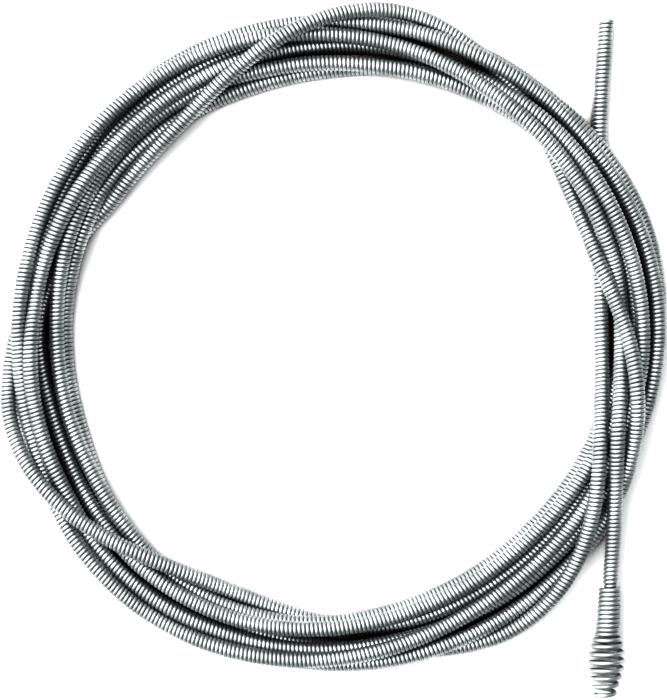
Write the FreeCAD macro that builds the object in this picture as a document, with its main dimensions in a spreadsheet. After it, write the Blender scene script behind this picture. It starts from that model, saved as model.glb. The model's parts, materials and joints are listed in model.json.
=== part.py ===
import FreeCAD, Part
import math
import os

import Sketcher
from FreeCAD import Placement, Rotation, Vector

# Drain auger: a long close-wound spring cable, coiled flat for storage, with
# a bulb auger head screwed over one end. The other end is plain.
# Units mm, +Z up. The coil lies on the XY plane. The origin is at the middle
# of the bottom of the whole object's box.

DRIVING_SIZES = {
    # the cable, a 5/16 in spring
    "cable_diameter": 7.94,
    # the coil: seven loose turns, two or three cables deep
    "coil_height": 24.0,
    "coil_centre_x": -0.4,
    "coil_centre_y": 7.05,
    # the auger head: one wire, close turns over the cable, open turns in the bulb
    "head_wire": 2.2,
    "sleeve_turns": 10,
    "sleeve_pitch": 2.23,
    "sleeve_top_diameter": 11.4,
    "sleeve_low_diameter": 12.6,
    "bulb_length": 30.7,
    "bulb_diameter": 19.2,
    "tip_turns": 0.4,
    # the last turns of the cable, squeezed inside the sleeve
    "screw_end_diameter": 6.5,
    "sleeve_gap": 0.3,
}

# Outline of the coil seen from above: inner and outer radius, one pair every
# 15 degrees anticlockwise from +X.
COIL_OUTLINE = (
    (132.0, 168.0), (134.0, 170.5), (136.5, 170.0), (141.5, 166.0),
    (138.0, 165.0), (134.5, 171.5), (130.0, 167.5), (128.5, 163.5),
    (128.5, 163.0), (126.0, 163.0), (127.0, 163.5), (132.0, 163.5),
    (132.5, 164.5), (132.5, 172.0), (135.5, 167.5), (138.5, 170.0),
    (135.5, 172.0), (135.5, 170.0), (140.0, 169.5), (137.5, 169.5),
    (135.5, 177.0), (135.0, 174.0), (136.5, 169.0), (136.0, 166.0),
)

# Middle line of the cable where it isn't coiled, from the coil's centre.
PLAIN_END_ROUTE = (
    (138.6, 159.8, 3.97),
    (135.9, 121.9, 3.97),
    (134.7, 84.0, 3.97),
)
HEAD_END_ROUTE = (
    (141.8, -80.0, 16.8),
    (141.5, -95.5, 12.9),
    (140.96, -112.0, 9.6),
    (140.1, -126.0, 9.6),
)
HEAD_TOP = HEAD_END_ROUTE[-1]
HEAD_TILT_DEG = 3.5

# The bulb, one pair for each of its turns: share of its length from the
# sleeve, and share of its greatest diameter.
BULB_SHAPE = (
    (0.095, 0.79), (0.195, 0.89), (0.325, 0.97), (0.46, 1.0),
    (0.59, 0.97), (0.72, 0.855), (0.855, 0.755), (1.0, 0.655),
)

ARC_SHARE = 0.45
POINTS_PER_TURN = 16


def new_sheet(doc):
    sheet = doc.addObject("Spreadsheet::Sheet", "Sizes")
    for row, (alias, value) in enumerate(DRIVING_SIZES.items(), start=1):
        sheet.set(f"A{row}", alias)
        sheet.set(f"B{row}", str(value))
        sheet.setAlias(f"B{row}", alias)
    doc.recompute()
    return sheet


def origin_plane(body, role):
    return next(f for f in body.Origin.OriginFeatures if f.Role == role)


def coil_section(body, index, inner, outer):
    """One slot-shaped section across the coil, flat below and on top."""
    sketch = body.newObject("Sketcher::SketchObject", f"CoilSection{index:02d}")
    sketch.AttachmentSupport = (origin_plane(body, "XZ_Plane"), [""])
    sketch.MapMode = "FlatFace"
    turn = 360.0 * index / len(COIL_OUTLINE)
    sketch.AttachmentOffset = Placement(Vector(0, 0, 0), Rotation(Vector(0, 1, 0), turn))

    half = DRIVING_SIZES["coil_height"] / 2
    near = Vector(inner + half, half, 0)
    far = Vector(outer - half, half, 0)
    up = Vector(0, half, 0)
    axis = Vector(0, 0, 1)
    quarter = math.pi / 2
    far_end = Part.ArcOfCircle(Part.Circle(far, axis, half), -quarter, quarter)
    near_end = Part.ArcOfCircle(Part.Circle(near, axis, half), quarter, 3 * quarter)
    sketch.addGeometry(Part.LineSegment(near - up, far - up))
    sketch.addGeometry(far_end)
    sketch.addGeometry(Part.LineSegment(far + up, near + up))
    sketch.addGeometry(near_end)
    bottom, right, top, left = range(4)
    start, end, centre = 1, 2, 3
    joints = (
        (bottom, end, right, start),
        (right, end, top, start),
        (top, end, left, start),
        (left, end, bottom, start),
    )
    for joint in joints:
        sketch.addConstraint(Sketcher.Constraint("Tangent", *joint))
    sketch.addConstraint(Sketcher.Constraint("PointOnObject", bottom, start, -1))
    sketch.addConstraint(Sketcher.Constraint("Horizontal", bottom))
    radius = sketch.addConstraint(Sketcher.Constraint("Radius", right, half))
    near_x = sketch.addConstraint(Sketcher.Constraint("DistanceX", -1, 1, left, centre, near.x))
    far_x = sketch.addConstraint(Sketcher.Constraint("DistanceX", -1, 1, right, centre, far.x))
    sketch.setExpression(f"Constraints[{radius}]", "Sizes.coil_height / 2")
    sketch.setExpression(f"Constraints[{near_x}]", f"{inner} + Sizes.coil_height / 2")
    sketch.setExpression(f"Constraints[{far_x}]", f"{outer} - Sizes.coil_height / 2")
    return sketch


def cable_coil(doc):
    """The outer shape of the coiled cable: a flat ring, wider where turns bulge out."""
    body = doc.addObject("PartDesign::Body", "CableCoil")
    body.Label = "cable_coil"
    sections = [coil_section(body, i, *pair) for i, pair in enumerate(COIL_OUTLINE)]
    doc.recompute()
    loft = body.newObject("PartDesign::AdditiveLoft", "CoilLoft")
    loft.Profile = sections[0]
    loft.Sections = sections[1:]
    loft.Closed = True
    body.setExpression("Placement.Base.x", "Sizes.coil_centre_x")
    body.setExpression("Placement.Base.y", "Sizes.coil_centre_y")
    return body


def tube_path(points):
    """Straight runs joined by tangent arcs, each as large as its two runs allow."""
    edges = []
    radii = []
    here = points[0]
    for before, corner, after in zip(points, points[1:], points[2:]):
        back = before - corner
        ahead = after - corner
        run = ARC_SHARE * min(back.Length, ahead.Length)
        half_turn = (math.pi - back.getAngle(ahead)) / 2
        radius = run / math.tan(half_turn)
        back.normalize()
        ahead.normalize()
        first = corner + back * run
        last = corner + ahead * run
        inward = (back + ahead).normalize()
        centre = corner + inward * (radius / math.cos(half_turn))
        middle = centre - inward * radius
        edges.append(Part.LineSegment(here, first).toShape())
        edges.append(Part.Arc(first, middle, last).toShape())
        radii.append(radius)
        here = last
    edges.append(Part.LineSegment(here, points[-1]).toShape())
    return Part.Wire(edges), radii


def cable_tube(doc, sheet, name, label, route):
    """A plain tube for a stretch of cable that isn't coiled."""
    path, radii = tube_path([Vector(*point) for point in route])
    radius = sheet.cable_diameter / 2
    start = path.Edges[0]
    circle = Part.Circle(start.valueAt(start.FirstParameter),
                         start.tangentAt(start.FirstParameter), radius)
    section = Part.Wire([circle.toShape()])
    tube = doc.addObject("Part::Feature", name)
    tube.Label = label
    tube.Shape = path.makePipeShell([section], True, False)
    tube.setExpression("Placement.Base.x", "Sizes.coil_centre_x")
    tube.setExpression("Placement.Base.y", "Sizes.coil_centre_y")
    expected = math.pi * radius ** 2 * path.Length
    print(f"{label}: length {path.Length:.1f}, radii {[round(r, 1) for r in radii]},",
          f"volume ratio {tube.Shape.Volume / expected:.4f}")
    return tube


def place_on_head_axis(item):
    """Turn the item's own +Z to run down the head from the top of its sleeve."""
    tilt = math.radians(HEAD_TILT_DEG)
    direction = Vector(-math.sin(tilt), -math.cos(tilt), 0)
    base = Vector(*HEAD_TOP)
    item.Placement = Placement(base, Rotation(Vector(0, 0, 1), direction))
    item.setExpression("Placement.Base.x", f"{base.x} + Sizes.coil_centre_x")
    item.setExpression("Placement.Base.y", f"{base.y} + Sizes.coil_centre_y")


def screw_end(doc):
    """The cable's last turns, drawn down inside the sleeve, as a plain round core."""
    core = doc.addObject("Part::Cylinder", "ScrewEnd")
    core.Label = "cable_screw_end"
    core.setExpression("Radius", "Sizes.screw_end_diameter / 2")
    core.setExpression("Height", "Sizes.sleeve_turns * Sizes.sleeve_pitch")
    place_on_head_axis(core)
    return core


def head_profile(sheet):
    """Depth and radius of the middle of the head's wire, against its turns.

    Whole turns are where the wire passes the front of the head. The curve is
    read by turns: x is the depth from the sleeve's top, and y the radius.
    """
    wire = sheet.head_wire
    sleeve = int(sheet.sleeve_turns)
    first_depth = wire / 2 + sheet.sleeve_gap
    widening = (sheet.sleeve_low_diameter - sheet.sleeve_top_diameter) / sleeve
    rows = []
    for turn in range(-1, sleeve + 1):
        depth = first_depth + sheet.sleeve_pitch * (turn + 0.25)
        rows.append((turn, depth, sheet.sleeve_top_diameter + widening * max(turn, 0)))
    sleeve_depth = rows[-1][1]
    for turn, (along, width) in enumerate(BULB_SHAPE, start=sleeve + 1):
        depth = sleeve_depth + along * sheet.bulb_length
        rows.append((turn, depth, width * sheet.bulb_diameter))
    turn, depth, diameter = rows[-1]
    rows.append((turn + 1, depth + sheet.sleeve_pitch, diameter - wire))
    curve = Part.BSplineCurve()
    curve.interpolate(
        Points=[Vector(depth, (diameter - wire) / 2, 0) for turn, depth, diameter in rows],
        Parameters=[float(turn) for turn, depth, diameter in rows],
    )
    return curve


def auger_head(doc, sheet):
    """One wire: close turns over the cable, then an open bulb that catches clogs."""
    profile = head_profile(sheet)
    first = -0.25
    last = sheet.sleeve_turns + len(BULB_SHAPE) + sheet.tip_turns
    steps = round((last - first) * POINTS_PER_TURN)
    points = []
    for i in range(steps + 1):
        turns = first + (last - first) * i / steps
        middle = profile.value(turns)
        angle = 2 * math.pi * (turns + 0.25)
        points.append(Vector(middle.y * math.cos(angle), middle.y * math.sin(angle), middle.x))
    curve = Part.BSplineCurve()
    curve.interpolate(points)
    path = Part.Wire([curve.toShape()])
    edge = path.Edges[0]
    radius = sheet.head_wire / 2
    circle = Part.Circle(points[0], edge.tangentAt(edge.FirstParameter), radius)
    section = Part.Wire([circle.toShape()])
    head = doc.addObject("Part::Feature", "AugerHead")
    head.Label = "auger_head"
    head.Shape = path.makePipeShell([section], True, True)
    place_on_head_axis(head)
    expected = math.pi * radius ** 2 * path.Length
    print(f"auger_head: wire {path.Length:.0f} long, depth {points[-1].z:.1f},",
          f"volume ratio {head.Shape.Volume / expected:.4f}")
    return head


def check_document(doc, parts):
    for item in doc.Objects:
        if "Invalid" in item.State or "Error" in item.State:
            raise RuntimeError(f"{item.Name} failed: {item.State}")
    for part in parts:
        if part.Shape.isNull() or not part.Shape.isValid():
            raise RuntimeError(f"{part.Label} has no valid shape")


def main():
    doc = FreeCAD.newDocument("DrainAuger")
    sheet = new_sheet(doc)
    parts = [
        cable_coil(doc),
        cable_tube(doc, sheet, "PlainEnd", "cable_plain_end", PLAIN_END_ROUTE),
        cable_tube(doc, sheet, "HeadEnd", "cable_head_end", HEAD_END_ROUTE),
        screw_end(doc),
        auger_head(doc, sheet),
    ]
    doc.recompute()
    check_document(doc, parts)
    os.makedirs("parts", exist_ok=True)
    whole = FreeCAD.BoundBox()
    for part in parts:
        part.Shape.exportStep(f"parts/{part.Label}.step")
        whole.add(part.Shape.BoundBox)
    print("box", whole)


main()
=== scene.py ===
"""Drain auger: a coiled spring cable with a bulb auger head, on a pale floor.

Lengths are in metres unless a comment says mm. Angles round the coil are in
degrees from +X, clockwise as seen from above, which is the way the cable runs
from its plain end.
"""

import json
import math

import bpy
import numpy as np
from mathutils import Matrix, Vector


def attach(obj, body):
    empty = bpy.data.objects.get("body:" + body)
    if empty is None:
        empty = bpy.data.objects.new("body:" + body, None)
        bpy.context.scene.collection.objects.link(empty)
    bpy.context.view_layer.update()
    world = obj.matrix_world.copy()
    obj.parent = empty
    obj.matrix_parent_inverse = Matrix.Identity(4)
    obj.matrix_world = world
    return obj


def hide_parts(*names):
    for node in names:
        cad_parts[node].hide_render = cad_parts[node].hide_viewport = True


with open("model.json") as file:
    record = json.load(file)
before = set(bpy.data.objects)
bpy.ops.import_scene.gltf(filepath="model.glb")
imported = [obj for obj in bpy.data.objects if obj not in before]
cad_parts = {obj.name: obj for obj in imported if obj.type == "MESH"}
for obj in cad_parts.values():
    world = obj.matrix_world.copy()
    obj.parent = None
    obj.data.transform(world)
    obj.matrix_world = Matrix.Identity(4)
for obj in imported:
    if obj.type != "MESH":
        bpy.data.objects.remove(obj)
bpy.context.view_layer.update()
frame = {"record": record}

MM = 0.001
CABLE = 7.94 * MM
WIRE = 2.1 * MM
PITCH = 2.12 * MM
SLEEVE = 22.3 * MM  # ten close turns of the head's wire

LENS = 120.0
SENSOR = 36.0
VIEW_HEIGHT = 352.8 * MM  # what the camera sees from top to bottom, at VIEW_LEVEL
VIEW_LEVEL = 12 * MM
EYE_HEIGHT = VIEW_LEVEL + VIEW_HEIGHT * LENS / SENSOR
CAMERA_OFFSET = (0.25 * MM, -7.06 * MM)  # from the coil's centre

# The cable where it isn't coiled, in mm from the coil's centre.
PLAIN_END_ROUTE = (
    (138.6, 159.8, 3.97),
    (135.9, 121.9, 3.97),
    (134.7, 84.0, 3.97),
)
HEAD_END_ROUTE = (
    (141.8, -80.0, 16.8),
    (141.5, -95.5, 12.9),
    (140.96, -112.0, 9.6),
    (140.1, -126.0, 9.6),
)
INSIDE_SLEEVE = (0.35, 0.7, 1.0)  # its last points, as shares of the sleeve's length

# The seven turns of the coil. A station is (angle, radius in mm, rank): where
# two turns cross, the one of the higher rank lies on top.
TURNS = (
    (  # turn 1, from the plain end
        (0, 135.0, 0), (5, 135.5, 0), (10, 137.5, 0), (13, 139.0, 3), (17, 141.0, 5),
        (20, 142.5, 5), (40, 165.5, 5), (45, 170.0, 5), (50, 173.0, 5), (55, 174.5, 5),
        (60, 174.5, 0), (65, 171.5, 0), (75, 163.5, 0), (80, 160.5, 0), (90, 156.5, 0),
        (120, 151.0, 0), (130, 148.0, 0), (150, 138.2, 0), (160, 135.5, 0), (180, 135.0, 0),
        (207, 137.1, 0), (220, 137.0, 0), (235, 133.5, 0), (255, 132.0, 0), (265, 133.0, 0),
        (275, 135.5, 0), (315, 152.5, 0), (320, 153.0, 0), (330, 151.5, 0), (340, 148.5, 0),
        (350, 147.0, 0.5),
    ),
    (  # turn 2
        (0, 146.5, 1), (10, 145.0, 1), (20, 142.0, 1), (45, 139.0, 1), (70, 140.5, 1),
        (100, 146.5, 1), (120, 146.5, 1), (130, 145.0, 1), (135, 143.0, 1), (150, 139.4, 1),
        (180, 139.0, 1), (200, 142.2, 1), (215, 143.5, 1), (245, 140.5, 1), (250, 139.0, 1),
        (260, 138.0, 1), (280, 137.5, 1), (300, 142.0, 1), (325, 150.5, 1), (350, 153.0, 1.2),
    ),
    (  # turn 3
        (0, 153.5, 2), (5, 152.5, 2), (25, 145.0, 2), (35, 143.0, 2), (50, 142.0, 2),
        (70, 143.5, 2), (110, 151.5, 2), (130, 151.5, 2), (140, 149.5, 2), (150, 148.0, 2),
        (160, 146.5, 2), (165, 146.5, 1.5), (170, 147.0, -1), (180, 149.0, -1), (185, 148.5, -1),
        (208, 132.0, -1), (212, 130.5, 0), (215, 129.5, 7), (225, 129.5, 7), (235, 131.5, 7),
        (240, 134.5, 7), (250, 143.0, 7), (270, 163.0, 7), (280, 168.0, 7), (284, 168.0, 7),
        (287, 167.0, 2.3), (300, 159.0, 2.3), (325, 140.6, 2.3), (335, 137.9, 2.6),
        (340, 137.8, 4), (345, 139.0, 6), (355, 144.2, 6),
    ),
    (  # turn 4
        (0, 149.0, 6), (15, 159.5, 6), (20, 161.5, 4.6), (25, 164.0, 4.6), (35, 166.0, 4.6),
        (40, 166.0, 4.6), (45, 166.0, 4), (50, 166.0, 2.2), (80, 166.0, 2.2), (110, 163.5, 2.2),
        (160, 161.8, 2.2), (170, 160.2, 2.2), (190, 155.0, 2.2), (210, 151.5, 2.2),
        (240, 151.0, 2.2), (260, 153.0, 2.2), (270, 155.5, 2.2), (280, 159.5, 2.2),
        (315, 162.0, 2.2), (320, 164.0, 2.2), (330, 166.0, 2.2), (340, 167.0, 2.2),
        (350, 166.5, 2.2), (355, 165.0, 1.8),
    ),
    (  # turn 5
        (0, 162.5, 1.5), (25, 150.0, 1.5), (35, 148.5, 1.5), (50, 148.5, 1.5), (60, 148.5, 0.5),
        (80, 149.0, 0.5), (90, 146.5, 0.5), (100, 140.5, 0.5), (110, 138.0, 0.5),
        (115, 138.0, 1.5), (117, 138.5, 7), (125, 142.0, 7), (130, 145.5, 7), (150, 164.0, 7),
        (160, 169.5, 7), (165, 169.5, 2.5), (170, 167.5, 2.5), (184, 156.5, 2.5),
        (192, 153.5, 2.5), (210, 154.5, 2.5), (230, 158.5, 2.5), (240, 159.5, 2.5),
        (280, 158.5, 2.5), (300, 159.5, 2.5), (350, 164.5, 2.5),
    ),
    (  # turn 6
        (0, 164.5, 2.6), (35, 158.0, 2.6), (50, 157.0, 2.6), (80, 157.0, 2.6), (100, 159.5, 2.6),
        (117, 160.0, 2.6), (123, 160.5, 3.4), (130, 160.5, 3.4), (140, 159.5, 3.4),
        (150, 156.0, 3.4), (160, 155.5, 3.4), (220, 146.5, 3.4), (225, 146.5, 2.6),
        (230, 146.0, 2.6), (270, 146.5, 2.6), (280, 148.0, 2.6), (300, 149.0, 2.6),
        (320, 153.5, 2.6), (350, 156.0, 2.6),
    ),
    (  # turn 7
        (0, 156.5, 3), (5, 156.5, 3), (25, 153.0, 3), (50, 154.0, 3), (65, 156.0, 3),
        (95, 164.5, 3), (115, 168.0, 3), (125, 168.5, 3), (140, 166.5, 3), (155, 161.0, 3),
        (160, 160.0, 3), (180, 158.2, 3), (210, 159.2, 3), (220, 159.5, 3), (250, 156.5, 3),
        (270, 152.0, 3), (300, 147.0, 3), (310, 146.0, 3), (340, 146.5, 3), (350, 146.5, 3.5),
    ),
    (  # the stretch that crosses out to the auger head
        (0, 145.0, 3.5), (5, 145.3, 3.5), (15, 149.2, 3.5), (18, 150.9, 7), (20, 152.2, 7),
        (25, 156.6, 7), (35, 172.3, 7),
    ),
)

# The auger head, in mm and turns: a sleeve of close turns, then the bulb, with
# the depth and width of each of its turns as shares of its length and diameter.
HEAD_WIRE = 2.2
SLEEVE_TURNS = 10
SLEEVE_PITCH = 2.23
SLEEVE_GAP = 0.3
SLEEVE_TOP_DIAMETER = 11.4
SLEEVE_LOW_DIAMETER = 12.6
BULB_LENGTH = 30.7
BULB_DIAMETER = 19.2
BULB_SHAPE = (
    (0.095, 0.79), (0.195, 0.89), (0.325, 0.97), (0.46, 1.0),
    (0.59, 0.97), (0.72, 0.855), (0.855, 0.755), (1.0, 0.655),
)
TIP_TURNS = 0.4
HEAD_LEAD = 0.25  # turns of wire before the sleeve's first whole turn


# ---------------------------------------------------------------- the frame

def head_axis():
    """The top of the head's sleeve and the way the head points, from its joint."""
    joint = next(j for j in frame["record"]["behaviour"]["joints"] if j["child"] == "head")
    return np.array(joint["pos_m"]), np.array(joint["axis"])


HEAD_TOP, HEAD_WAY = head_axis()
CENTRE = HEAD_TOP - np.array(HEAD_END_ROUTE[-1]) * MM  # of the coil, on the floor


# ---------------------------------------------------------------- the coil's lay

LAY_STEP = 2.5  # degrees between the points that settle
COIL_STEP = 5.0  # degrees between control points: 72 points to a turn
LAY_MARGIN = 35.0  # degrees that settle along with the coil beyond either end
PLAIN_SIDE_KEPT = 25.0  # degrees of that margin that stay in the coil's stretch
HEAD_SIDE_CUT = 12.5  # degrees of it that the head end's own route takes over
PLAIN_END_RANK = -3.0  # the plain end lies under all that crosses it
LANE_PASSES = 2

SETTLE_STEPS = 4000
RANK_LIFT = 0.9  # how high a turn starts, in diameters per rank
FIRST_FALL = 0.06  # mm that a turn falls by at the first step, fading out by the last
STEADY_FALL = 0.004  # mm that it falls by besides, at every step
UPRIGHT_STIFFNESS = 0.35
LEVEL_STIFFNESS = 0.30
LANE_PULL = 0.25  # how much of the way back to its lane a turn moves at each step
CROSSING = 0.9  # turns closer from above than this many diameters lie one on the other
OUT_OF_ORDER = 0.3  # of the height that keeps them clear: the least that counts as on top
ORDER_LIFT = 0.25  # how much of what is missing to that height a step puts right
PUSH_APART = 0.45  # how much of an overlap a step takes from each of the two turns


def stations():
    """Every station of the coil on one running angle."""
    rows = [
        (360.0 * turn + angle, radius * MM, rank)
        for turn, lane in enumerate(TURNS)
        for angle, radius, rank in lane
    ]
    return np.array(rows).T


def smoothed(values, passes):
    """The values, averaged with their neighbours this many times over."""
    weights = np.array([1.0, 2.0, 3.0, 2.0, 1.0]) / 9.0
    for _ in range(passes):
        padded = np.pad(values, 2, mode="reflect", reflect_type="odd")
        values = np.convolve(padded, weights, "valid")
    return values


def stiffened(values, share):
    """One step of bending stiffness: the fourth difference, eased out."""
    p = np.pad(values, 2, mode="reflect", reflect_type="odd")
    bend = p[:-4] - 4 * p[1:-3] + 6 * p[2:-2] - 4 * p[3:-1] + p[4:]
    return values - bend * share / 6


def settle(lanes, ranks, per_turn):
    """Let the turns down onto the floor and each other, in their ranks' order.

    Turns are compared at the same angle, where they are one, two, three and
    more turns apart along the cable, and are pushed about a diameter apart.
    Lanes are as wide as they look from above, where a higher turn looks wider.
    """
    radius = lanes.copy()
    height = CABLE / 2 + np.maximum(ranks, 0.0) * CABLE * RANK_LIFT
    shifts = [per_turn * k for k in range(1, len(TURNS)) if per_turn * k < len(lanes)]
    above = {s: np.where(ranks[s:] > ranks[:-s], 1.0, -1.0) for s in shifts}
    for step in range(SETTLE_STEPS):
        height -= (FIRST_FALL * (1 - step / SETTLE_STEPS) + STEADY_FALL) * MM
        height = stiffened(height, UPRIGHT_STIFFNESS)
        true_lanes = lanes * (EYE_HEIGHT - height) / (EYE_HEIGHT - VIEW_LEVEL)
        radius = true_lanes + stiffened(radius - true_lanes, LEVEL_STIFFNESS)
        radius += (true_lanes - radius) * LANE_PULL
        for s in shifts:
            across = radius[s:] - radius[:-s]
            up = height[s:] - height[:-s]
            gap = np.hypot(across, up) + 1e-9
            clear = np.sqrt(np.maximum(CABLE ** 2 - across ** 2, 0.0))
            crossing = np.abs(across) < CROSSING * CABLE
            wrong = crossing & (up * above[s] < OUT_OF_ORDER * clear)
            lift = np.where(wrong, (clear - up * above[s]) * ORDER_LIFT, 0.0) * above[s]
            push = np.where(~wrong & (gap < CABLE), (CABLE - gap) * PUSH_APART, 0.0)
            radius[s:] += push * across / gap
            radius[:-s] -= push * across / gap
            height[s:] += push * up / gap + lift
            height[:-s] -= push * up / gap + lift
        height = np.maximum(height, CABLE / 2)
    return radius, height


def coil_points():
    """Control points of the coiled stretch, from the settled lay."""
    end = 360.0 * (len(TURNS) - 1) + LAY_MARGIN
    angles = np.arange(-LAY_MARGIN, end + 1e-6, LAY_STEP)
    known, radii, ranks = stations()
    lanes = np.interp(angles, known, radii)
    order = np.interp(angles, known, ranks)
    before = angles < 0
    straight = PLAIN_END_ROUTE[-1][0] * MM
    lanes[before] = straight / np.cos(np.radians(angles[before]))
    order[before] = PLAIN_END_RANK
    per_turn = int(round(360.0 / LAY_STEP))
    radius, height = settle(smoothed(lanes, LANE_PASSES), order, per_turn)
    every = int(round(COIL_STEP / LAY_STEP))
    inner = (angles >= -PLAIN_SIDE_KEPT) & (angles <= end - HEAD_SIDE_CUT)
    turn = np.radians(angles[inner][::every])
    reach = radius[inner][::every]
    return np.stack(
        [reach * np.cos(turn), -reach * np.sin(turn), height[inner][::every]], axis=1
    )


def cable_route():
    """Control points of the whole cable, from its plain end into the sleeve."""
    plain = np.array(PLAIN_END_ROUTE) * MM
    head = np.array(HEAD_END_ROUTE) * MM
    inside = [head[-1] + HEAD_WAY * SLEEVE * share for share in INSIDE_SLEEVE]
    return np.concatenate([plain, coil_points(), head, inside]) + CENTRE


# ---------------------------------------------------------------- curves and wires

FACET_GROWTH = {8: 1.045, 12: 1.02}  # a faceted wire as thick as the round one


def smooth_line(name, points):
    """The points that Blender gives for a NURBS spline through the route."""
    curve = bpy.data.curves.new(name, "CURVE")
    curve.dimensions = "3D"
    spline = curve.splines.new("NURBS")
    spline.points.add(len(points) - 1)
    for point, place in zip(spline.points, points):
        point.co = (*place, 1.0)
    spline.order_u = 3
    spline.use_endpoint_u = True
    spline.resolution_u = 6
    holder = bpy.data.objects.new(name, curve)
    bpy.context.collection.objects.link(holder)
    graph = bpy.context.evaluated_depsgraph_get()
    mesh = bpy.data.meshes.new_from_object(holder.evaluated_get(graph), depsgraph=graph)
    line = np.array([v.co for v in mesh.vertices])
    bpy.data.meshes.remove(mesh)
    bpy.data.objects.remove(holder)
    bpy.data.curves.remove(curve)
    return line


def unit(vectors):
    return vectors / np.linalg.norm(vectors, axis=-1, keepdims=True)


def travelled(line):
    """Distance along a line at each of its points."""
    return np.concatenate([[0.0], np.cumsum(np.linalg.norm(np.diff(line, axis=0), axis=1))])


def carried_normals(line, first):
    """Normals carried along a line with no twist about it."""
    ways = unit(np.gradient(line, axis=0))
    normals = np.empty_like(line)
    normal = np.array(first, float)
    for i, way in enumerate(ways):
        normal = normal - way * normal.dot(way)
        normal /= np.linalg.norm(normal)
        normals[i] = normal
    return ways, normals


def wound_wire(line, at, angles, radii):
    """Middle line of a wire wound right-hand round a line."""
    along = travelled(line)
    ways, normals = carried_normals(line, (0.0, 0.0, 1.0))
    sides = np.cross(ways, normals)

    def sample(values):
        return np.stack([np.interp(at, along, values[:, k]) for k in range(3)], axis=1)

    out = (
        np.cos(angles)[:, None] * unit(sample(normals))
        + np.sin(angles)[:, None] * unit(sample(sides))
    )
    return sample(line) + out * radii[:, None], unit(out)


def wire_mesh(name, middle, outward, thickness, sides):
    """A round wire along a middle line, closed at both cut ends.

    Its UV map is in metres along the wire, and turns round the wire from the
    side that faces out of the spring.
    """
    ways = unit(np.gradient(middle, axis=0))
    outward = unit(outward - ways * (outward * ways).sum(axis=1, keepdims=True))
    across = np.cross(ways, outward)
    ring = 2 * np.pi * np.arange(sides) / sides
    offsets = (
        np.cos(ring)[None, :, None] * outward[:, None, :]
        + np.sin(ring)[None, :, None] * across[:, None, :]
    )
    radius = thickness / 2 * FACET_GROWTH[sides]
    points = middle[:, None, :] + offsets * radius
    count = len(middle)
    rows = np.arange(count - 1)[:, None] * sides
    here = np.arange(sides)[None, :]
    ahead = (here + 1) % sides
    quads = np.stack([rows + here, rows + ahead, rows + sides + ahead, rows + sides + here],
                     axis=-1).reshape(-1, 4)
    caps = (np.arange(sides)[::-1], (count - 1) * sides + np.arange(sides))
    corners = np.concatenate([quads.reshape(-1), *caps])
    starts = np.concatenate([np.arange(len(quads)) * 4, len(quads) * 4 + np.array([0, sides])])

    mesh = bpy.data.meshes.new(name)
    mesh.vertices.add(count * sides)
    mesh.vertices.foreach_set("co", points.reshape(-1).astype(np.float32))
    mesh.loops.add(len(corners))
    mesh.loops.foreach_set("vertex_index", corners.astype(np.int32))
    mesh.polygons.add(len(quads) + 2)
    mesh.polygons.foreach_set("loop_start", starts.astype(np.int32))
    smooth = np.ones(len(quads) + 2, bool)
    smooth[-2:] = False
    mesh.polygons.foreach_set("use_smooth", smooth)

    along = travelled(middle)
    row = np.arange(count - 1)[:, None, None]
    u = along[row + np.array([0, 0, 1, 1])[None, None, :] + 0 * here[:, :, None]]
    v = (here[:, :, None] + np.array([0, 1, 1, 0])[None, None, :]) / sides + 0 * row
    uv = np.stack([u, v], axis=-1).reshape(-1, 2)
    uv = np.concatenate([uv, np.zeros((2 * sides, 2))])
    layer = mesh.uv_layers.new(name="wire")
    layer.data.foreach_set("uv", uv.reshape(-1).astype(np.float32))
    mesh.update(calc_edges=True)
    mesh.validate()
    made = bpy.data.objects.new(name, mesh)
    bpy.context.collection.objects.link(made)
    return made


# ---------------------------------------------------------------- materials

class Nodes:
    """Short names for building a material's nodes."""

    def __init__(self, material):
        material.use_nodes = True
        self.tree = material.node_tree
        self.shader = self.tree.nodes["Principled BSDF"]

    def add(self, kind, **values):
        node = self.tree.nodes.new(kind)
        for name, value in values.items():
            setattr(node, name, value)
        return node

    def put(self, socket, value):
        if isinstance(value, bpy.types.NodeSocket):
            self.tree.links.new(value, socket)
        else:
            socket.default_value = value

    def math(self, operation, first, second=0.0):
        node = self.add("ShaderNodeMath", operation=operation)
        self.put(node.inputs[0], first)
        self.put(node.inputs[1], second)
        return node.outputs[0]

    def fit(self, value, low, high, to_low, to_high):
        node = self.add("ShaderNodeMapRange", interpolation_type="SMOOTHSTEP")
        for socket, given in zip(node.inputs, (value, low, high, to_low, to_high)):
            self.put(socket, given)
        return node.outputs[0]

    def noise(self, vector, scale, detail=3.0):
        node = self.add("ShaderNodeTexNoise")
        self.put(node.inputs["Vector"], vector)
        self.put(node.inputs["Scale"], scale)
        self.put(node.inputs["Detail"], detail)
        return node.outputs["Fac"]

    def blend(self, share, first, second, mode="MIX"):
        node = self.add("ShaderNodeMix", data_type="RGBA", blend_type=mode)
        self.put(node.inputs["Factor"], share)
        colours = [i for i in node.inputs if i.type == "RGBA"]
        self.put(colours[0], first)
        self.put(colours[1], second)
        return next(o for o in node.outputs if o.type == "RGBA")


BRIGHT = (0.50, 0.52, 0.52, 1)
DULL = (0.34, 0.36, 0.36, 1)
DRAWN_SHADE = (0.45, 0.46, 0.46, 1)
# Near black: painted shade between the wire's turns, partly grime.
SHADE_AND_GRIME = (0.010, 0.012, 0.013, 1)

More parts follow.
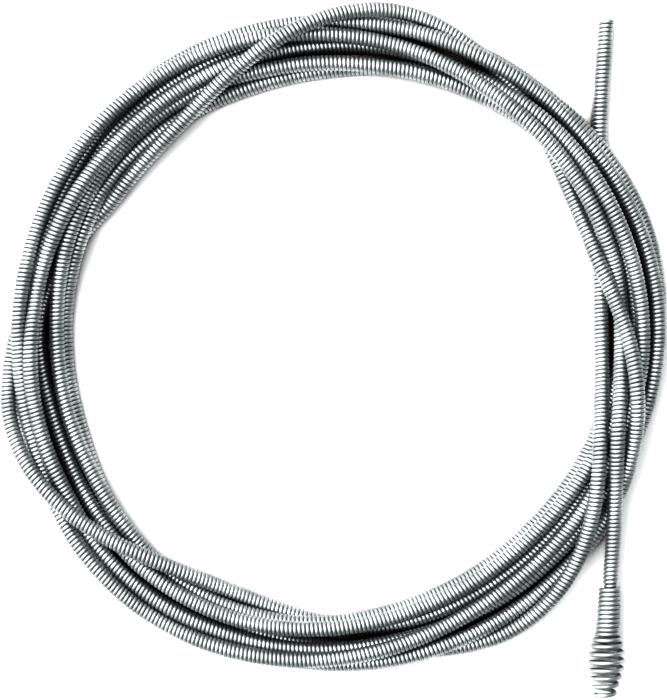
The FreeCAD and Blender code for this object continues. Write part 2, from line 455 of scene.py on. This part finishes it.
STREAK_LENGTH_SCALE = 60.0  # streak coordinates per metre of wire
STREAK_DETAIL = 4.0
STREAK_SCALE = 7.0
STREAK_DEPTH = 0.35  # how much of their shade the streaks take
PATCH_SCALE = 55.0
SHADE_AND_GRIME_SCALE = 260.0
SHADE_AND_GRIME_EDGE = 0.06  # how far a point faces into the spring where the painted shade and grime begin
SHADE_AND_GRIME_RAGGED = 0.16  # how much that differs from place to place
SHADE_AND_GRIME_FULL = 0.42  # and how far it faces in where the painted shade and grime are full

BRIGHT_ROUGHNESS = 0.36
DULL_ROUGHNESS = 0.46
STREAK_ROUGHNESS = 0.08
SHADE_AND_GRIME_ROUGHNESS = 0.35
SHADE_AND_GRIME_METALLIC = 0.35
BUMP_STRENGTH = 0.12
BUMP_DEPTH = 0.2 * MM
BUMP_SCALE = 16.0


def wire_places(n):
    """Streak coordinates along the wire, and how far a point faces into the spring."""
    uv = n.add("ShaderNodeUVMap", uv_map="wire").outputs[0]
    parts = n.add("ShaderNodeSeparateXYZ")
    n.put(parts.inputs[0], uv)
    turn = n.math("MULTIPLY", parts.outputs[1], 2 * math.pi)
    inward = n.math("MULTIPLY", n.math("SUBTRACT", 1.0, n.math("COSINE", turn)), 0.5)
    streaks = n.add("ShaderNodeCombineXYZ")
    n.put(streaks.inputs[0], n.math("MULTIPLY", parts.outputs[0], STREAK_LENGTH_SCALE))
    n.put(streaks.inputs[1], n.math("SINE", turn))
    n.put(streaks.inputs[2], n.math("COSINE", turn))
    return streaks.outputs[0], inward


def steel(name, shade_and_dirt):
    """Drawn spring wire: streaked, dulled in patches, darkened between its turns by painted
    shade and some grime.
    """
    material = bpy.data.materials.new(name)
    n = Nodes(material)
    streaks, inward = wire_places(n)
    place = n.add("ShaderNodeTexCoord").outputs["Object"]

    patches = n.fit(n.noise(place, PATCH_SCALE), 0.35, 0.65, 0.0, 1.0)
    drawn = n.fit(n.noise(streaks, STREAK_SCALE, STREAK_DETAIL), 0.30, 0.70, 0.0, 1.0)
    # Painted shade between the turns, partly grime: darker, rougher and less metallic where the
    # wire faces into the spring.
    ragged = n.math("MULTIPLY", n.noise(place, SHADE_AND_GRIME_SCALE), SHADE_AND_GRIME_RAGGED)
    shade_and_grime_edge = n.math("ADD", SHADE_AND_GRIME_EDGE, ragged)
    shade_and_grime = n.fit(inward, shade_and_grime_edge, SHADE_AND_GRIME_FULL, 0.0, shade_and_dirt)

    colour = n.blend(patches, BRIGHT, DULL)
    colour = n.blend(n.math("MULTIPLY", drawn, STREAK_DEPTH), colour, DRAWN_SHADE, "MULTIPLY")
    colour = n.blend(shade_and_grime, colour, SHADE_AND_GRIME)
    n.put(n.shader.inputs["Base Color"], colour)
    n.put(n.shader.inputs["Metallic"], n.fit(shade_and_grime, 0.0, 1.0, 1.0, SHADE_AND_GRIME_METALLIC))
    worn = n.fit(patches, 0.0, 1.0, BRIGHT_ROUGHNESS, DULL_ROUGHNESS)
    rough = n.math("ADD", worn, n.math("MULTIPLY", drawn, STREAK_ROUGHNESS))
    rough = n.math("ADD", rough, n.math("MULTIPLY", shade_and_grime, SHADE_AND_GRIME_ROUGHNESS))
    n.put(n.shader.inputs["Roughness"], rough)
    bump = n.add("ShaderNodeBump")
    n.put(bump.inputs["Strength"], BUMP_STRENGTH)
    n.put(bump.inputs["Distance"], BUMP_DEPTH)
    n.put(bump.inputs["Height"], n.noise(streaks, BUMP_SCALE, STREAK_DETAIL))
    n.put(n.shader.inputs["Normal"], bump.outputs[0])
    return material


# ---------------------------------------------------------------- the pieces

PER_WINDING = 14  # points in each winding of the cable
WIRE_SIDES = 8
WINDING_GROWTH = 1.015  # a faceted winding about as wide as the round one
START_TURN = -0.27  # turns: the cut end shows at the right of the plain end
CUT_END_RUN = 0.5 * PITCH  # along the cable, where the cut end springs out
CUT_END_PROUD = 0.5 * MM
NECK_RADIUS = 2.2 * MM  # the middle of the wire where the sleeve grips it
NECK_START = 2 * MM  # before the sleeve, where the cable begins to narrow
NECK_RUN = 2.5 * MM  # along the cable, until it is narrow
# How much painted shade, partly grime, darkens the cable's wire between its turns.
CABLE_SHADE_AND_DIRT = 1.0

HEAD_PER_TURN = 24
HEAD_SIDES = 12
# How much painted shade, partly grime, darkens the head's wire between its turns.
HEAD_SHADE_AND_DIRT = 0.6


def make_cable():
    """The whole cable: one wire, wound close round the settled route."""
    line = smooth_line("cable_line", cable_route())
    length = travelled(line)[-1]
    at = np.linspace(0.0, length, int(length / PITCH * PER_WINDING))
    from_end = length - at
    angles = 2 * np.pi * (at / PITCH + START_TURN)
    radii = np.full(len(at), (CABLE - WIRE) / 2 * WINDING_GROWTH)
    neck = np.clip((SLEEVE + NECK_START - from_end) / NECK_RUN, 0.0, 1.0)
    radii += (NECK_RADIUS - radii) * neck
    radii += CUT_END_PROUD * np.clip(1.0 - at / CUT_END_RUN, 0.0, 1.0)
    middle, outward = wound_wire(line, at, angles, radii)
    cable = wire_mesh("cable", middle, outward, WIRE, WIRE_SIDES)
    cable.data.materials.append(steel("spring_wire", CABLE_SHADE_AND_DIRT))
    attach(cable, "cable")
    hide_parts("cable_coil", "cable_plain_end", "cable_head_end", "cable_screw_end")


def head_rows():
    """Depth and outer diameter of the head's wire in mm, one row per turn.

    There is a row before the first turn and two beyond the last, which the
    smooth curve through the rows needs.
    """
    first_depth = HEAD_WIRE / 2 + SLEEVE_GAP
    widening = (SLEEVE_LOW_DIAMETER - SLEEVE_TOP_DIAMETER) / SLEEVE_TURNS
    rows = []
    for turn in range(-1, SLEEVE_TURNS + 1):
        depth = first_depth + SLEEVE_PITCH * (turn + HEAD_LEAD)
        rows.append((depth, SLEEVE_TOP_DIAMETER + widening * max(turn, 0)))
    sleeve_depth = rows[-1][0]
    rows += [(sleeve_depth + along * BULB_LENGTH, width * BULB_DIAMETER)
             for along, width in BULB_SHAPE]
    for _ in range(2):
        rows.append((rows[-1][0] + SLEEVE_PITCH, rows[-1][1] - HEAD_WIRE))
    return np.array(rows)


def through(rows, at):
    """A smooth curve through evenly spaced rows, read at fractional row numbers."""
    i = np.clip(at.astype(int), 1, len(rows) - 3)
    t = (at - i)[:, None]
    before, here, ahead, beyond = (rows[i + k] for k in (-1, 0, 1, 2))
    return here + 0.5 * t * (
        (ahead - before)
        + t * (2 * before - 5 * here + 4 * ahead - beyond)
        + t * t * (3 * here - before - 3 * ahead + beyond)
    )


def make_head():
    """The auger head: one wire, close turns over the cable's end, then the open bulb."""
    last = SLEEVE_TURNS + len(BULB_SHAPE) + TIP_TURNS
    turns = np.arange(-HEAD_LEAD, last, 1 / HEAD_PER_TURN)
    depth, diameter = through(head_rows(), turns + 1).T * MM
    radius = (diameter - HEAD_WIRE * MM) / 2
    angle = 2 * np.pi * (turns + HEAD_LEAD)
    turned = Vector((0, 0, 1)).rotation_difference(Vector(HEAD_WAY)).to_matrix()
    sideways, upright, onward = np.array(turned).T
    outward = np.outer(np.cos(angle), sideways) + np.outer(np.sin(angle), upright)
    middle = HEAD_TOP + outward * radius[:, None] + np.outer(depth, onward)
    head = wire_mesh("head", middle, outward, HEAD_WIRE * MM, HEAD_SIDES)
    head.data.materials.append(steel("head_wire", HEAD_SHADE_AND_DIRT))
    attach(head, "head")
    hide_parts("auger_head")


# ---------------------------------------------------------------- stage and camera

# The floor's colour by how much of the sky reaches it: dark in the slots
# between strands, brown at their edges, pale wherever one side is open.
FLOOR_SHADES = (
    (0.30, (0.012, 0.010, 0.008)),
    (0.42, (0.16, 0.11, 0.07)),
    (0.50, (0.66, 0.66, 0.66)),
)
FLOOR_REACH = 15 * MM  # how far off a strand still shades the floor
FLOOR_SAMPLES = 8
FLOOR_SIZE = 6.0
FLOOR_ROUGHNESS = 0.9
FLOOR_GLOSS = 0.2

SKY_WAY = (-0.5, 0.25, 0.83)  # towards the brightest part of the sky
SKY = ((0.0, 0.1), (0.35, 0.5), (0.7, 2.0), (1.0, 3.2))  # position and brightness
SKY_TINT = (0.985, 1.0, 1.0)
KEY_PLACE = (-0.8, 0.45, 1.45)
KEY_SIZE = 1.3
KEY_WATTS = 16.7


def shade_ramp(ramp, shades):
    """Give a colour ramp the stops of a list of (position, colour)."""
    stops = ramp.elements
    while len(stops) < len(shades):
        stops.new(0.5)
    for stop, (position, colour) in zip(stops, shades):
        stop.position = position
        stop.color = (*colour, 1)


def make_floor():
    """Plain paper, dark and brown only where the cable shades it."""
    bpy.ops.mesh.primitive_plane_add(size=FLOOR_SIZE, location=(0, 0, 0))
    floor = bpy.context.object
    floor.name = "floor"
    material = bpy.data.materials.new("floor_paper")
    n = Nodes(material)
    shade = n.add("ShaderNodeAmbientOcclusion", samples=FLOOR_SAMPLES)
    n.put(shade.inputs["Distance"], FLOOR_REACH)
    ramp = n.add("ShaderNodeValToRGB")
    n.put(ramp.inputs["Fac"], shade.outputs["AO"])
    shade_ramp(ramp.color_ramp, FLOOR_SHADES)
    n.put(n.shader.inputs["Base Color"], ramp.outputs["Color"])
    n.put(n.shader.inputs["Roughness"], FLOOR_ROUGHNESS)
    n.put(n.shader.inputs["Specular IOR Level"], FLOOR_GLOSS)
    floor.data.materials.append(material)


def make_lights():
    """A bright sky overhead, dark to the lower right, and a broad key at upper left."""
    world = bpy.data.worlds.new("studio")
    world.use_nodes = True
    nodes = world.node_tree.nodes
    links = world.node_tree.links
    place = nodes.new("ShaderNodeTexCoord")
    facing = nodes.new("ShaderNodeVectorMath")
    facing.operation = "DOT_PRODUCT"
    facing.inputs[1].default_value = Vector(SKY_WAY).normalized()
    links.new(place.outputs["Generated"], facing.inputs[0])
    ramp = nodes.new("ShaderNodeValToRGB")
    links.new(facing.outputs["Value"], ramp.inputs["Fac"])
    shade_ramp(ramp.color_ramp, [
        (position, [level * tint for tint in SKY_TINT]) for position, level in SKY
    ])
    links.new(ramp.outputs["Color"], nodes["Background"].inputs["Color"])
    bpy.context.scene.world = world

    key = bpy.data.lights.new("key", "AREA")
    key.shape = "DISK"
    key.size = KEY_SIZE
    key.energy = KEY_WATTS
    lamp = bpy.data.objects.new("key", key)
    lamp.location = KEY_PLACE
    lamp.rotation_euler = (-lamp.location).to_track_quat("-Z", "Y").to_euler()
    bpy.context.collection.objects.link(lamp)


def make_camera():
    """Straight above the coil, framed close as it lies."""
    camera = bpy.data.cameras.new("camera")
    camera.lens = LENS
    camera.sensor_width = SENSOR
    camera.dof.use_dof = False
    holder = bpy.data.objects.new("camera", camera)
    x, y = CENTRE[:2] + np.array(CAMERA_OFFSET)
    holder.location = (x, y, EYE_HEIGHT)
    bpy.context.collection.objects.link(holder)
    bpy.context.scene.camera = holder


bpy.context.scene.view_settings.view_transform = "Standard"
bpy.context.scene.view_settings.look = "Very High Contrast"
bpy.context.scene.view_settings.exposure = 0.0
make_camera()
make_cable()
make_head()
make_floor()
make_lights()
